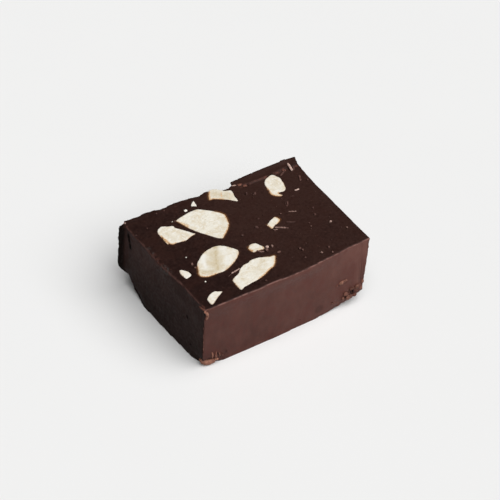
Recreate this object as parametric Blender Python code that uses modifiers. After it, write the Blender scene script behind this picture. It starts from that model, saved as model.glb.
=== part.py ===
"""Chocolate almond nougat: one hand-cut block of dark chocolate, with almond pieces cut flush in its top.

Sizes are in millimetres, measured from the front left corner of the block's base:
x runs along the long front face, y goes back and z goes up. The model itself is in
metres, standing on z = 0 with the middle of its box over the origin.
"""

import math

import bmesh
import bpy
from mathutils import Matrix, Vector

MM = 0.001
COLLECTION = "chocolate_almond_nougat"

# the middle of the model's box, measured from the block's front left corner
MIDDLE_X = 26.85
MIDDLE_Y = 21.9

# the cut block
LENGTH = 56.0
DEPTH = 44.8
HEIGHT = 22.6
CELLS_LONG = 26
CELLS_DEEP = 20
CELLS_HIGH = 9

# how far the left and right faces lean and splay from a true box
LEFT_TOP_SPLAY = 1.5
LEFT_FOOT_OUT = 1.0
LEFT_FOOT_SPLAY = 2.3
RIGHT_TOP_SPLAY = 1.1
RIGHT_FOOT_IN = 1.8
RIGHT_FOOT_SPLAY = 0.9

# the front face stands forward along its left part, more at the top than at the foot
FRONT_TOP_BOW = 1.35
FRONT_TOP_BOW_ENDS = 31.0
FRONT_FOOT_BOW = 0.4
FRONT_FOOT_BOW_ENDS = 25.0
FRONT_BOW_FADE = 18.0
BACK_FOOT_IN = 1.2
EDGE_WIDTH = 0.45
EDGE_ANGLE = 50

# the top back right corner flares out and up
FLARE_OUT = 0.8
FLARE_UP = 0.8
FLARE_START = (0.9, 0.7, 0.7)

# the foot of the front left edge is worn round
FOOT_CORNER_IN = 1.0
FOOT_CORNER_HIGH = 5.0

# the back edge is broken, with a wide dip where one almond lies open
BACK_WAVE = 0.35
BACK_WAVE_LENGTH = 9.5
BACK_BREAK_AT = 29.5
BACK_BREAK_HALF = 9.0
BACK_BREAK_DEEP = 2.2

# crumbled foot under the right end of the front face
CRUMBLE_FROM = 41.0
CRUMBLE_HIGH = 3.4
CRUMBLE_IN = 1.5

# the lower back left corner is broken away
CORNER_BREAK_HIGH = 8.5
CORNER_BREAK_DEEP = 8.8
CORNER_BREAK_LONG = 9.0
CORNER_BREAK_POWER = 4

# the raised strip left uncut along the right part of the back edge
LEDGE_FROM = 34.9
LEDGE_TO = 58.0
LEDGE_THICK = 3.6
LEDGE_TIP_THICK = 1.3
LEDGE_RISE_LEFT = 0.35
LEDGE_RISE_RIGHT = 1.0
LEDGE_FRONT = 40.9
LEDGE_BACK = 43.9
LEDGE_FRONT_SLANT = 0.2
LEDGE_BACK_SLANT = 0.5
LEDGE_TIP_WIDE = 0.5
LEDGE_TIP_SHARE = 0.12
LEDGE_END_SHARE = 0.2
LEDGE_UNDERCUT = 1.4
LEDGE_CELLS = (11, 3, 3)

# the lobe of chocolate that hangs down the left face at its back edge
LOBE_BOTTOM = 4.6
LOBE_TOP = 22.3
LOBE_OUT = 4.6
LOBE_TOP_OUT = 1.5
LOBE_FRONT = 40.4
LOBE_BACK = 44.7
LOBE_ROOT = 1.5
LOBE_SWELL_POWER = 0.45
LOBE_END_SHARE = 0.2
LOBE_END_LEFT = 0.35
LOBE_ROUND = 0.9
LOBE_TAPER = 0.9
LOBE_TAPER_SHARE = 0.3
LOBE_CELLS = (3, 4, 10)

# the clear gap that an almond keeps to its pocket
GAP = 0.3
CUTTER_RISE = 2.0
KERNEL_SIDES = 22
KERNEL_RINGS = 8
CHIP_SIDES = 12
CHIP_RINGS = 6
SMALL_PIECE = 3.5
CUT_TOLERANCE = 1e-7

# Each almond piece: where its middle lies in the top, half its length and half its width,
# how deep it goes, the turn of its length from +x, and how much it narrows to its far end.
# Its broken sides are straight cuts: the way each one faces and how far it is from the middle.
ALMONDS = {
    "almond_back_wedge": dict(
        middle=(17.7, 30.9), half=(8.9, 8.2), deep=5.2, turn=115, taper=0.0,
        cuts=((205, 1.6), (92, 7.2), (48, 7.5)),
    ),
    "almond_left_wedge": dict(
        middle=(9.2, 31.5), half=(6.1, 4.2), deep=4.2, turn=124, taper=-0.1,
        cuts=((41, 2.4), (262, 3.7)),
    ),
    "almond_middle_oval": dict(
        middle=(13.5, 15.5), half=(7.8, 5.3), deep=4.8, turn=24, taper=0.05, cuts=()
    ),
    "almond_front_long": dict(
        middle=(20.4, 6.0), half=(8.9, 3.9), deep=3.9, turn=20, taper=0.14, cuts=((183, 7.5),)
    ),
    "almond_right_oval": dict(
        middle=(46.3, 35.5), half=(5.2, 3.1), deep=3.6, turn=68, taper=-0.06, cuts=()
    ),
    "almond_back_edge": dict(
        middle=(30.0, 39.9), half=(5.7, 4.0), deep=4.4, turn=129, taper=0.0,
        cuts=((143, 3.8), (54, 2.6), (230, 1.7)),
    ),
    "almond_chip_middle": dict(
        middle=(26.0, 14.2), half=(2.7, 2.0), deep=1.9, turn=125, taper=0.1, cuts=()
    ),
    "almond_chip_square": dict(
        middle=(36.5, 21.3), half=(2.9, 1.7), deep=1.7, turn=30, taper=0.0, cuts=((30, 2.3), (210, 2.2))
    ),
    "almond_chip_left": dict(
        middle=(2.9, 15.0), half=(2.4, 1.3), deep=1.5, turn=108, taper=0.1, cuts=()
    ),
    "almond_chip_front": dict(
        middle=(4.9, 2.4), half=(3.2, 1.7), deep=1.8, turn=40, taper=0.1, cuts=((218, 2.8),)
    ),
}

# colour, roughness: dark chocolate and blanched almond
CHOCOLATE = ((0.062, 0.031, 0.025), 0.42)
ALMOND = ((0.78, 0.72, 0.60), 0.60)


def clear_scene():
    for obj in list(bpy.data.objects):
        bpy.data.objects.remove(obj)


def new_collection(name):
    collection = bpy.data.collections.new(name)
    bpy.context.scene.collection.children.link(collection)
    return collection


def principled(name, finish):
    colour, roughness = finish
    material = bpy.data.materials.new(name)
    material.use_nodes = True
    shader = material.node_tree.nodes["Principled BSDF"]
    shader.inputs["Base Color"].default_value = (*colour, 1.0)
    shader.inputs["Roughness"].default_value = roughness
    shader.inputs["Metallic"].default_value = 0.0
    return material


def to_world(x, y, z):
    """A place in millimetres from the block's corner, as metres from the origin."""
    return Vector(((x - MIDDLE_X) * MM, (y - MIDDLE_Y) * MM, z * MM))


def mix(a, b, share):
    return a + (b - a) * share


def ease(value):
    """A smooth step from 0 to 1 as value goes from 0 to 1."""
    t = min(1.0, max(0.0, value))
    return t * t * (3.0 - 2.0 * t)


def hump(value):
    """1 in the middle, falling smoothly to 0 at -1 and 1."""
    return 1.0 - ease(abs(value))


def left_side(v, w):
    top = -LEFT_TOP_SPLAY * v
    foot = -LEFT_FOOT_OUT - LEFT_FOOT_SPLAY * v
    return mix(foot, top, w)


def right_side(v, w):
    top = LENGTH + RIGHT_TOP_SPLAY * v
    foot = LENGTH - RIGHT_FOOT_IN + RIGHT_FOOT_SPLAY * v
    return mix(foot, top, w)


def front_side(u, w):
    x = u * LENGTH
    top = -FRONT_TOP_BOW * (1.0 - ease((x - FRONT_TOP_BOW_ENDS) / FRONT_BOW_FADE))
    foot = -FRONT_FOOT_BOW * (1.0 - ease((x - FRONT_FOOT_BOW_ENDS) / FRONT_BOW_FADE))
    return mix(foot, top, w)


def back_side(u, w):
    x = u * LENGTH
    wave = BACK_WAVE * math.sin(2.0 * math.pi * x / BACK_WAVE_LENGTH)
    broken = BACK_BREAK_DEEP * hump((x - BACK_BREAK_AT) / BACK_BREAK_HALF)
    top = DEPTH + wave - broken
    foot = DEPTH - BACK_FOOT_IN + wave / 2.0
    return mix(foot, top, w)


def block_point(u, v, w):
    """Where a point of the unit cube lies in the cut block."""
    x = mix(left_side(v, w), right_side(v, w), u)
    y = mix(front_side(u, w), back_side(u, w), v)
    z = HEIGHT * w
    flare = math.prod(ease((p - start) / (1.0 - start)) for p, start in zip((u, v, w), FLARE_START))
    x += FLARE_OUT * flare
    z += FLARE_UP * flare
    if u == 0.0 and v == 0.0:
        pulled = FOOT_CORNER_IN * (1.0 - ease(z / FOOT_CORNER_HIGH))
        x += pulled
        y += pulled
    corner = (1.0 - ease(x / CORNER_BREAK_LONG)) * (1.0 - ease(z / CORNER_BREAK_HIGH))
    y -= CORNER_BREAK_DEEP * corner * v**CORNER_BREAK_POWER
    if v == 0.0:
        crumbled = ease((x - CRUMBLE_FROM) / (LENGTH - CRUMBLE_FROM))
        z += CRUMBLE_HIGH * crumbled * (1.0 - w)
        y += CRUMBLE_IN * crumbled * (w == 0.0)
    return x, y, z


def ledge_point(u, v, w):
    """The raised strip: a wedge in plan that runs out to a thin tip at its left end."""
    x = mix(LEDGE_FROM, LEDGE_TO, u)
    widen = ease(u / LEDGE_TIP_SHARE)
    front = mix(LEDGE_BACK - LEDGE_TIP_WIDE, LEDGE_FRONT - LEDGE_FRONT_SLANT * u, widen)
    back = LEDGE_BACK - LEDGE_BACK_SLANT * u
    top = HEIGHT + mix(LEDGE_RISE_LEFT, LEDGE_RISE_RIGHT, u * u)
    thick = mix(LEDGE_TIP_THICK, LEDGE_THICK, widen)
    x -= LEDGE_UNDERCUT * (1.0 - w) * ease((u - 1.0 + LEDGE_END_SHARE) / LEDGE_END_SHARE)
    return x, mix(front, back, v), top - thick * (1.0 - w)


def lobe_point(u, v, w):
    """The hanging lobe: rooted in the block at u = 1, widest near its lower end."""
    z = mix(LOBE_BOTTOM, LOBE_TOP, w)
    swell = (1.0 - w) ** LOBE_SWELL_POWER * ease(LOBE_END_LEFT + w / LOBE_END_SHARE)
    out = -LOBE_TOP_OUT - (LOBE_OUT - LOBE_TOP_OUT) * swell
    round_off = LOBE_ROUND * abs(2.0 * v - 1.0) ** 3
    front = LOBE_FRONT + LOBE_TAPER * (1.0 - ease(w / LOBE_TAPER_SHARE))
    return mix(out + round_off, LOBE_ROOT, u), mix(front, LOBE_BACK, v), z


def along(edge, axis):
    a, b = edge.verts
    return abs((a.co - b.co)[axis]) > 0.5


def shaped_box(name, cells, point):
    """A cube cut into a grid of cells, each corner then placed by the function point."""
    mesh = bmesh.new()
    bmesh.ops.create_cube(mesh, size=1.0)
    for axis, count in enumerate(cells):
        edges = [edge for edge in mesh.edges if along(edge, axis)]
        bmesh.ops.subdivide_edges(mesh, edges=edges, cuts=count - 1, use_grid_fill=True)
    for vert in mesh.verts:
        u, v, w = (round(c + 0.5, 6) for c in vert.co)
        vert.co = to_world(*point(u, v, w))
    bmesh.ops.recalc_face_normals(mesh, faces=mesh.faces)
    data = bpy.data.meshes.new(name)
    mesh.to_mesh(data)
    mesh.free()
    return bpy.data.objects.new(name, data)


def cut_flat(mesh, place, normal):
    """Cuts away all that lies past a plane and closes the cut with one face."""
    geometry = mesh.verts[:] + mesh.edges[:] + mesh.faces[:]
    bmesh.ops.bisect_plane(
        mesh, geom=geometry, dist=CUT_TOLERANCE, plane_co=place, plane_no=normal, clear_outer=True
    )
    rim = [e for e in mesh.edges if e.is_boundary]
    bmesh.ops.edgeloop_fill(mesh, edges=rim)


def kernel(name, piece, grow=0.0):
    """An almond piece below the knife cut. With grow it is the cutter of its own pocket."""
    small = max(piece["half"]) < SMALL_PIECE
    sides, rings = (CHIP_SIDES, CHIP_RINGS) if small else (KERNEL_SIDES, KERNEL_RINGS)
    half_long, half_wide = (h + grow for h in piece["half"])
    deep = piece["deep"] + grow
    mesh = bmesh.new()
    bmesh.ops.create_uvsphere(mesh, u_segments=sides, v_segments=rings, radius=1.0)
    for vert in mesh.verts:
        narrow = 1.0 - piece["taper"] * vert.co.x
        vert.co.x *= half_long
        vert.co.y *= half_wide * narrow
        vert.co.z *= deep
    spin = Matrix.Rotation(math.radians(piece["turn"]), 3, "Z")
    bmesh.ops.transform(mesh, matrix=spin.to_4x4(), verts=mesh.verts)
    cut_flat(mesh, Vector((0, 0, 0)), Vector((0, 0, 1)))
    for facing, distance in piece["cuts"]:
        angle = math.radians(facing)
        normal = Vector((math.cos(angle), math.sin(angle), 0.0))
        cut_flat(mesh, normal * (distance + grow), normal)
    if grow:
        lid = max(mesh.faces, key=lambda face: face.calc_center_median().z)
        raised = bmesh.ops.extrude_face_region(mesh, geom=[lid])
        mesh.faces.remove(lid)
        top = [g for g in raised["geom"] if isinstance(g, bmesh.types.BMVert)]
        bmesh.ops.translate(mesh, vec=(0, 0, CUTTER_RISE), verts=top)
    for vert in mesh.verts:
        x, y, z = vert.co
        vert.co = to_world(x + piece["middle"][0], y + piece["middle"][1], z + HEIGHT)
    bmesh.ops.recalc_face_normals(mesh, faces=mesh.faces)
    data = bpy.data.meshes.new(name)
    mesh.to_mesh(data)
    mesh.free()
    return bpy.data.objects.new(name, data)


def boolean(target, tool, operation):
    modifier = target.modifiers.new(f"{operation.lower()}_{tool.name}", "BOOLEAN")
    modifier.operation = operation
    modifier.object = tool


def make_block(parts, guides, material):
    block = shaped_box("chocolate_block", (CELLS_LONG, CELLS_DEEP, CELLS_HIGH), block_point)
    parts.objects.link(block)
    block.data.materials.append(material)
    edge = block.modifiers.new("worn_edges", "BEVEL")
    edge.width = EDGE_WIDTH * MM
    edge.segments = 1
    edge.limit_method = "ANGLE"
    edge.angle_limit = math.radians(EDGE_ANGLE)
    for name, cells, point in (
        ("ledge_strip", LEDGE_CELLS, ledge_point),
        ("hanging_lobe", LOBE_CELLS, lobe_point),
    ):
        guide = shaped_box(name, cells, point)
        hide_guide(guide, guides)
        boolean(block, guide, "UNION")
    for name, piece in ALMONDS.items():
        cutter = kernel(f"pocket_{name}", piece, GAP)
        hide_guide(cutter, guides)
        boolean(block, cutter, "DIFFERENCE")


def hide_guide(guide, guides):
    guides.objects.link(guide)
    guide.hide_render = True
    guide.display_type = "WIRE"


def make_almonds(parts, material):
    for name, piece in ALMONDS.items():
        almond = kernel(name, piece)
        almond.data.materials.append(material.copy())
        almond.data.materials[0].name = name
        parts.objects.link(almond)


clear_scene()
parts_collection = new_collection(COLLECTION)
guide_collection = new_collection("cutters")
make_block(parts_collection, guide_collection, principled("dark_chocolate", CHOCOLATE))
make_almonds(parts_collection, principled("blanched_almond", ALMOND))
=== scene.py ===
# %% [markdown]
# # A block of dark chocolate nougat with almonds
#
# The real thing is one hand-cut block. Its top is a knife cut straight through the chocolate and
# through the almonds in it, its front was moulded smooth, and its back edge is broken off. The packed
# solids carry the sizes. This lesson gives each of them a finished surface, in the same place.

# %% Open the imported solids
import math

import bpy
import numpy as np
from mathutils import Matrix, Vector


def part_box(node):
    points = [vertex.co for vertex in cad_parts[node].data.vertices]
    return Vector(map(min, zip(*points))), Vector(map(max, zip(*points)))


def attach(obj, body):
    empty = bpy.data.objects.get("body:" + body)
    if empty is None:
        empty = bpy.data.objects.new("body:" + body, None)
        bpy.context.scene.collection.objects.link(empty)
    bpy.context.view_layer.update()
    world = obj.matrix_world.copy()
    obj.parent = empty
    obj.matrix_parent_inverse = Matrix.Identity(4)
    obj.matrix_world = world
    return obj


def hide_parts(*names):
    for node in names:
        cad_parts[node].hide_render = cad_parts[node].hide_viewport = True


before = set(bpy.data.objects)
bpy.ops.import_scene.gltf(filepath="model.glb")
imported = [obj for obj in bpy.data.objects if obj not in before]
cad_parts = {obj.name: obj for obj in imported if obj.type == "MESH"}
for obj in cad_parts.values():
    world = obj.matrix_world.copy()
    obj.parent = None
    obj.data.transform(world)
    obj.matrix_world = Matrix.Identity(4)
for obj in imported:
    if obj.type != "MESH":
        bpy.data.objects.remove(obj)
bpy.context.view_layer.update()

# %% [markdown]
# Everything is measured in millimetres from the front left corner of the block's foot: x along the
# front, y to the back, z up. One function turns such a place into Blender's metres. The cut's height
# is read from an almond that lies flush in it.

MM = 0.001
MIDDLE = np.array([26.85, 21.9, 0.0])
LENGTH = 56.0
HEIGHT = round(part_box("almond_middle_oval")[1].z / MM, 3)
BODY = "root"
CHOCOLATE_SLOT, ALMOND_SLOT = "dark_chocolate", "blanched_almond"


def place(x, y, z):
    return Vector((np.array([x, y, z]) - MIDDLE) * MM)


# %% [markdown]
# ## Camera, floor and light
#
# The photograph looks down on one corner with a long lens, so the block's sides stay nearly
# parallel. The camera's place came from the block's corners in the picture.

# %% Camera
CAMERA_PLACE = (-148.59, -264.1, 302.66)
CAMERA_TURN, CAMERA_DOWN = 31.805, 40.548
FILM_WIDTH, LENS = 36.0, 108.0
NEAREST_SEEN = 0.01


def heading(turn, rise):
    """The direction turned so many degrees to the right of straight back, and so many above level."""
    turn, rise = math.radians(turn), math.radians(rise)
    return Vector((math.sin(turn) * math.cos(rise), math.cos(turn) * math.cos(rise), math.sin(rise)))


bpy.ops.object.camera_add(location=place(*CAMERA_PLACE))
camera = bpy.context.object
camera.rotation_euler = heading(CAMERA_TURN, -CAMERA_DOWN).to_track_quat("-Z", "Y").to_euler()
camera.data.sensor_width, camera.data.lens = FILM_WIDTH, LENS
camera.data.clip_start = NEAREST_SEEN
bpy.context.scene.camera = camera
bpy.context.scene.view_settings.view_transform = "Standard"
print("camera at", [round(c, 3) for c in camera.location])

# %% [markdown]
# The floor's soft shadow lies to the left and behind, and none lies in front. That is one very wide
# soft light, high up and a little right of the front. A sun lamp with a large angle gives it. The
# rest of the room is dark, which is why the top stays so deep: it mirrors that dark side.

# %% Light
LIGHT_TURN, LIGHT_UP = 19, 61
LIGHT_WIDE = math.radians(72)
LIGHT_STRENGTH = 3.95
ROOM, BACKDROP = 0.05, 0.85

comes_from = -heading(-LIGHT_TURN, -LIGHT_UP)
bpy.ops.object.light_add(type="SUN", location=comes_from)
window = bpy.context.object
window.rotation_euler = comes_from.to_track_quat("Z", "Y").to_euler()
window.data.energy = LIGHT_STRENGTH
window.data.angle = LIGHT_WIDE

world = bpy.data.worlds.new("studio")
world.use_nodes = True
bpy.context.scene.world = world
sky = world.node_tree.nodes["Background"]
ray = world.node_tree.nodes.new("ShaderNodeLightPath")
seen = world.node_tree.nodes.new("ShaderNodeMapRange")
seen.inputs["To Min"].default_value = ROOM
seen.inputs["To Max"].default_value = BACKDROP
world.node_tree.links.new(ray.outputs["Is Camera Ray"], seen.inputs["Value"])
world.node_tree.links.new(seen.outputs["Result"], sky.inputs["Strength"])
print("light from", [round(c, 2) for c in comes_from])

# %% [markdown]
# ## Small helpers
#
# Operators act on whatever is selected, so each step first selects one piece alone. Corners are then
# picked by their place, in millimetres, and moved with the transform operator. With a reach, the
# proportional falloff carries the neighbours along, as a hand would push clay.

# %% Selecting and pulling
def alone(piece):
    bpy.ops.object.select_all(action="DESELECT")
    piece.select_set(True)
    bpy.context.view_layer.objects.active = piece


def editing(on):
    bpy.ops.object.mode_set(mode="EDIT" if on else "OBJECT")


def settle():
    """Writes the selected piece's place, turn and size into its mesh."""
    bpy.ops.object.transform_apply(location=True, rotation=True, scale=True)


def spots(piece):
    """Every corner of the mesh, in millimetres from the block's front left corner."""
    flat = np.empty(len(piece.data.vertices) * 3)
    piece.data.vertices.foreach_get("co", flat)
    return flat.reshape(-1, 3) / MM + MIDDLE


def facings(piece):
    """The way that the surface faces at every corner."""
    flat = np.empty(len(piece.data.vertices) * 3)
    piece.data.vertex_normals.foreach_get("vector", flat)
    return flat.reshape(-1, 3)


def face_middles(piece):
    return np.array([face.center for face in piece.data.polygons]) / MM + MIDDLE


def pick(piece, chosen):
    mesh = piece.data
    mesh.polygons.foreach_set("select", np.zeros(len(mesh.polygons), bool))
    mesh.edges.foreach_set("select", np.zeros(len(mesh.edges), bool))
    flags = np.zeros(len(mesh.vertices), bool)
    flags[chosen] = True
    mesh.vertices.foreach_set("select", flags)


def pull(piece, chosen, by, reach=0.0):
    """Moves the chosen corners by so many millimetres, and what is within reach follows softly."""
    alone(piece)
    pick(piece, chosen)
    editing(True)
    bpy.ops.transform.translate(
        value=Vector(by) * MM,
        use_proportional_edit=reach > 0.0,
        proportional_edit_falloff="SMOOTH",
        proportional_size=max(reach, 1.0) * MM,
    )
    editing(False)


def modify(piece, kind, **settings):
    """Adds a modifier, sets it and applies it."""
    modifier = piece.modifiers.new(kind.lower(), kind)
    for name, value in settings.items():
        setattr(modifier, name, value)
    alone(piece)
    bpy.ops.object.modifier_apply(modifier=modifier.name)


# %% [markdown]
# Several pieces start as a rough box with leaning sides. The box is a cube primitive at its size and
# place. Its eight corners are pulled where they belong while it still has no more than eight, and
# only then it is cut into a grid, so that the new corners lie evenly on the leaning faces.

# %% A box with leaning sides
def hewn_box(name, foot, top, cuts):
    """foot and top each list four corners: front left, front right, back right and back left."""
    targets = np.array(list(foot) + list(top), float)
    low, high = targets.min(0), targets.max(0)
    bpy.ops.mesh.primitive_cube_add(size=1.0, location=place(*(low + high) / 2))
    piece = bpy.context.object
    piece.name = name
    piece.scale = (high - low) * MM
    settle()
    for number, target in enumerate(targets):
        right, back, up = number % 4 in (1, 2), number % 4 in (2, 3), number > 3
        corner = np.where([right, back, up], high, low)
        found = spots(piece)
        nearest = int(np.abs(found - corner).sum(1).argmin())
        pull(piece, [nearest], target - found[nearest])
    editing(True)
    bpy.ops.mesh.select_all(action="SELECT")
    bpy.ops.mesh.subdivide(number_cuts=cuts)
    editing(False)
    return piece


# %% [markdown]
# A cut edge is never quite straight. Its true run is a short list of measured places. The corners
# along that edge are found once, while the edge is still straight. Then they are pulled near the list
# with a wide reach, so that the faces follow, then each corner is pulled with a small one, and last it
# is set onto the run alone, which keeps the nicks crisp.

# %% Tracing an edge
ON_LINE, PAST_END = 0.01, 0.001


def on_line(piece, start, end):
    """The corners that lie on the straight line between two places."""
    start, run = np.array(start, float), np.array(end, float) - start
    offset = spots(piece) - start
    share = offset @ run / (run @ run)
    away = np.linalg.norm(offset - share[:, None] * run, axis=1)
    return np.flatnonzero((away < ON_LINE) & (share > -PAST_END) & (share < 1 + PAST_END))


def trace(piece, edge, axis, run, reach, closer=(0.3, 0.0)):
    """Pulls an edge that goes along axis onto a run. closer lists the last passes' shares of reach."""
    run = np.array(run, float)
    order = run[np.argsort(run[:, axis])]
    for goal in run:
        found = spots(piece)
        nearest = edge[np.abs(found[edge, axis] - goal[axis]).argmin()]
        pull(piece, [nearest], goal - found[nearest], reach)
    for close in closer:
        for corner in edge:
            at = spots(piece)[corner]
            goal = [np.interp(at[axis], order[:, axis], order[:, other]) for other in range(3)]
            goal[axis] = at[axis]
            pull(piece, [corner], goal - at, close * reach)


# %% [markdown]
# ## The block
#
# The real block was moulded in a slab and cut with a knife, so it has flat faces that lean a little.
# It could be one box with a rounded edge, but its edges tell its story: the front edge bows out, the
# back edge is broken in scallops, and the foot has crumbled at two corners. So the box is hewn first
# and its edges are traced from the photograph.

# %% Hew the block
FOOT = [(-1.0, -0.4, 0), (54.2, 0.0, 0), (55.1, 43.6, 0), (-3.3, 43.6, 0)]
TOP = [(0.0, -0.9, HEIGHT), (56.3, 0.0, HEIGHT), (58.5, 43.6, HEIGHT), (-1.6, 44.7, HEIGHT)]
block = hewn_box("dressed_block", FOOT, TOP, 47)
top_front, top_left = on_line(block, TOP[0], TOP[1]), on_line(block, TOP[0], TOP[3])
top_right, top_back = on_line(block, TOP[1], TOP[2]), on_line(block, TOP[3], TOP[2])
foot_front, foot_left = on_line(block, FOOT[0], FOOT[1]), on_line(block, FOOT[0], FOOT[3])
foot_back = on_line(block, FOOT[3], FOOT[2])
print("block hewn with", len(block.data.vertices), "corners,", len(top_front), "along the front edge")

# %% The top's edges
FRONT_RUN = [
    (0.2, -0.8), (2.0, -1.2), (6.0, -1.3), (10.0, -1.35), (14.0, -1.4), (18.5, -1.5), (22.0, -1.15),
    (26.0, -1.5), (30.0, -1.5), (33.0, -1.4), (36.0, -1.3), (38.0, -1.0), (41.0, -0.7), (45.0, -0.5),
    (47.0, -0.2), (50.0, 0.05), (54.0, 0.05), (56.3, 0.1),
]
LEFT_RUN = [
    (0.1, 0.6), (0.0, 3.2), (0.0, 7.0), (0.0, 10.6), (-0.5, 15.0), (-0.8, 17.9), (-1.2, 22.0),
    (-1.3, 27.8), (-1.1, 31.9), (-1.4, 36.3), (-1.4, 39.8), (-1.4, 42.5),
]
RIGHT_RUN = [(56.5, 4.0), (56.6, 8.0), (56.8, 15.0), (57.0, 22.0), (57.1, 29.0), (57.5, 35.0), (58.0, 40.0)]
BACK_RUN = [
    (-1.2, 45.3), (0.4, 44.6), (1.6, 44.3), (2.9, 44.3), (4.3, 44.4), (5.9, 44.8), (7.2, 44.8),
    (8.6, 44.8), (9.7, 44.5), (10.7, 43.8), (12.2, 43.9), (13.6, 43.9), (15.0, 44.1), (16.6, 44.5),
    (17.9, 44.4), (19.1, 44.1), (20.4, 44.2), (21.5, 43.7), (22.6, 43.4), (24.1, 43.5), (25.8, 44.0),
    (27.1, 43.9), (28.6, 44.0), (30.0, 43.0), (31.5, 42.0), (33.0, 41.8), (34.3, 42.2), (35.6, 43.0),
    (40.0, 43.6), (46.0, 43.6), (54.0, 43.4),
]
BACK_RISE = 0.1


def at_height(run, height):
    return [(x, y, height) for x, y in run]


trace(block, top_front, 0, at_height(FRONT_RUN, HEIGHT), 6.0)
trace(block, top_left, 1, at_height(LEFT_RUN, HEIGHT), 6.0)
trace(block, top_right, 1, at_height(RIGHT_RUN, HEIGHT), 8.0)
trace(block, top_back, 0, at_height(BACK_RUN, HEIGHT + BACK_RISE), 4.0)
print("top edges traced")

# %% [markdown]
# The foot's front edge rises where the chocolate has crumbled at the right, and the foot's left edge
# rises to the broken corner at the back.

# %% The foot's edges
FOOT_FRONT_RUN = [
    (0.3, 1.5, 0), (1.4, 0.9, 0), (2.8, 0.4, 0), (6.0, -0.5, 0), (14.0, -0.65, 0), (23.0, -0.65, 0),
    (32.0, -0.3, 0), (38.0, -0.15, 0), (41.5, 0.0, 0.1), (44.0, 0.1, 0.6), (47.0, 0.2, 1.0),
    (49.5, 0.3, 1.3), (52.0, 0.6, 2.0), (54.3, 0.8, 3.2),
]
FOOT_LEFT_RUN = [
    (0.3, 1.5, 0), (-0.3, 2.8, 0), (-1.2, 5.4, 0), (-1.5, 9.2, 0), (-1.9, 14.5, 0), (-2.2, 19.9, 0),
    (-2.5, 25.4, 0), (-2.7, 31.1, 0), (-2.2, 34.3, 0), (-1.7, 37.0, 0.4), (-1.4, 38.7, 0.9),
    (-1.3, 40.3, 2.3), (-1.3, 41.4, 3.2), (-1.3, 42.2, 4.2), (-1.2, 43.2, 5.5),
]
FOOT_BACK_RUN = [
    (-1.2, 43.2, 5.5), (0.2, 43.2, 3.0), (1.6, 43.3, 1.3), (3.6, 43.5, 0.4), (7.0, 43.6, 0),
    (50.0, 43.6, 0),
]
trace(block, foot_front, 0, FOOT_FRONT_RUN, 3.5)
trace(block, foot_left, 1, FOOT_LEFT_RUN, 5.0)
trace(block, foot_back, 0, FOOT_BACK_RUN, 3.0)
print("foot edges traced")

# %% [markdown]
# Along the right part of the back edge a strip was left standing when the top was cut. It runs out to
# a thin tip at its left. It is one more hewn box. Its front edge is traced along the torn line, and its
# back edge along the rim that stands against the light floor.

# %% The raised strip
STRIP_FOOT = [(36.8, 42.2, 19.6), (55.6, 40.6, 19.6), (55.8, 43.0, 19.6), (35.6, 43.4, 21.2)]
STRIP_TOP = [(36.2, 42.3, 22.85), (57.9, 40.9, 23.4), (58.5, 43.9, 23.3), (34.7, 43.9, 22.75)]
STRIP_RUN = [
    (37.3, 41.2, 22.95), (38.6, 40.6, 23.0), (40.0, 40.4, 23.05), (43.0, 40.4, 23.05), (46.0, 40.2, 23.1),
    (49.0, 40.5, 23.15), (52.0, 40.8, 23.25), (55.0, 41.1, 23.3),
]
STRIP_BACK_RUN = [
    (36.2, 43.95, 22.8), (38.0, 43.95, 22.95), (41.0, 43.95, 23.15), (44.0, 43.95, 23.3),
    (47.0, 43.95, 23.4), (50.0, 43.95, 23.45), (53.0, 43.95, 23.5), (54.3, 44.0, 23.7),
    (55.3, 43.95, 23.5), (57.8, 43.9, 23.35),
]
strip = hewn_box("strip", STRIP_FOOT, STRIP_TOP, 19)
strip_front, strip_back = on_line(strip, *STRIP_TOP[:2]), on_line(strip, *STRIP_TOP[:1:-1])
trace(strip, strip_front, 0, STRIP_RUN, 4.0)
trace(strip, strip_back, 0, STRIP_BACK_RUN, 2.0)
print("strip of", len(strip.data.vertices), "corners")

# %% [markdown]
# At the back left a lobe of chocolate hangs down the side like wax. It is widest low down and ends in
# a blunt point. Its outer edge and its front edge are traced too.

# %% The hanging lobe
LOBE_FOOT = [(-1.9, 37.4, 5.6), (1.5, 37.4, 5.0), (1.5, 44.0, 4.7), (-2.7, 44.0, 5.2)]
LOBE_TOP = [(-1.1, 38.0, 21.6), (1.5, 38.0, 22.0), (1.5, 44.7, 22.0), (-1.2, 44.9, 22.2)]
LOBE_RUN = [
    (-2.0, 44.9, 21.8), (-2.6, 44.7, 20.9), (-3.0, 44.4, 19.6), (-3.2, 44.3, 17.8), (-3.2, 44.3, 16.0),
    (-3.55, 44.2, 14.2), (-3.7, 44.2, 12.4), (-4.0, 44.2, 10.5), (-4.2, 44.2, 8.4), (-3.95, 44.1, 7.0),
    (-2.9, 44.0, 5.4),
]
LOBE_FRONT_RUN = [(-1.5, 38.2, 18.0), (-1.8, 37.6, 14.0), (-2.0, 37.2, 10.0)]
lobe = hewn_box("lobe", LOBE_FOOT, LOBE_TOP, 15)
lobe_back = on_line(lobe, LOBE_FOOT[3], LOBE_TOP[3])
lobe_front = on_line(lobe, LOBE_FOOT[0], LOBE_TOP[0])
trace(lobe, lobe_back, 2, LOBE_RUN, 3.0)
trace(lobe, lobe_front, 2, LOBE_FRONT_RUN, 2.5)
print("lobe pulled")

# %% [markdown]
# At the right end of the foot the chocolate crumbled into knobs. Each is a ball at its place, pressed
# to its own widths. Block, strip, lobe and knobs are joined and remeshed into one skin of small even
# faces. The voxel size, 0.31 mm, is about one pixel of the photograph, and keeps the nicks. It leaves
# small steps in a slanting edge, so the strip's back rim is traced once more on the finished skin.

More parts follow.
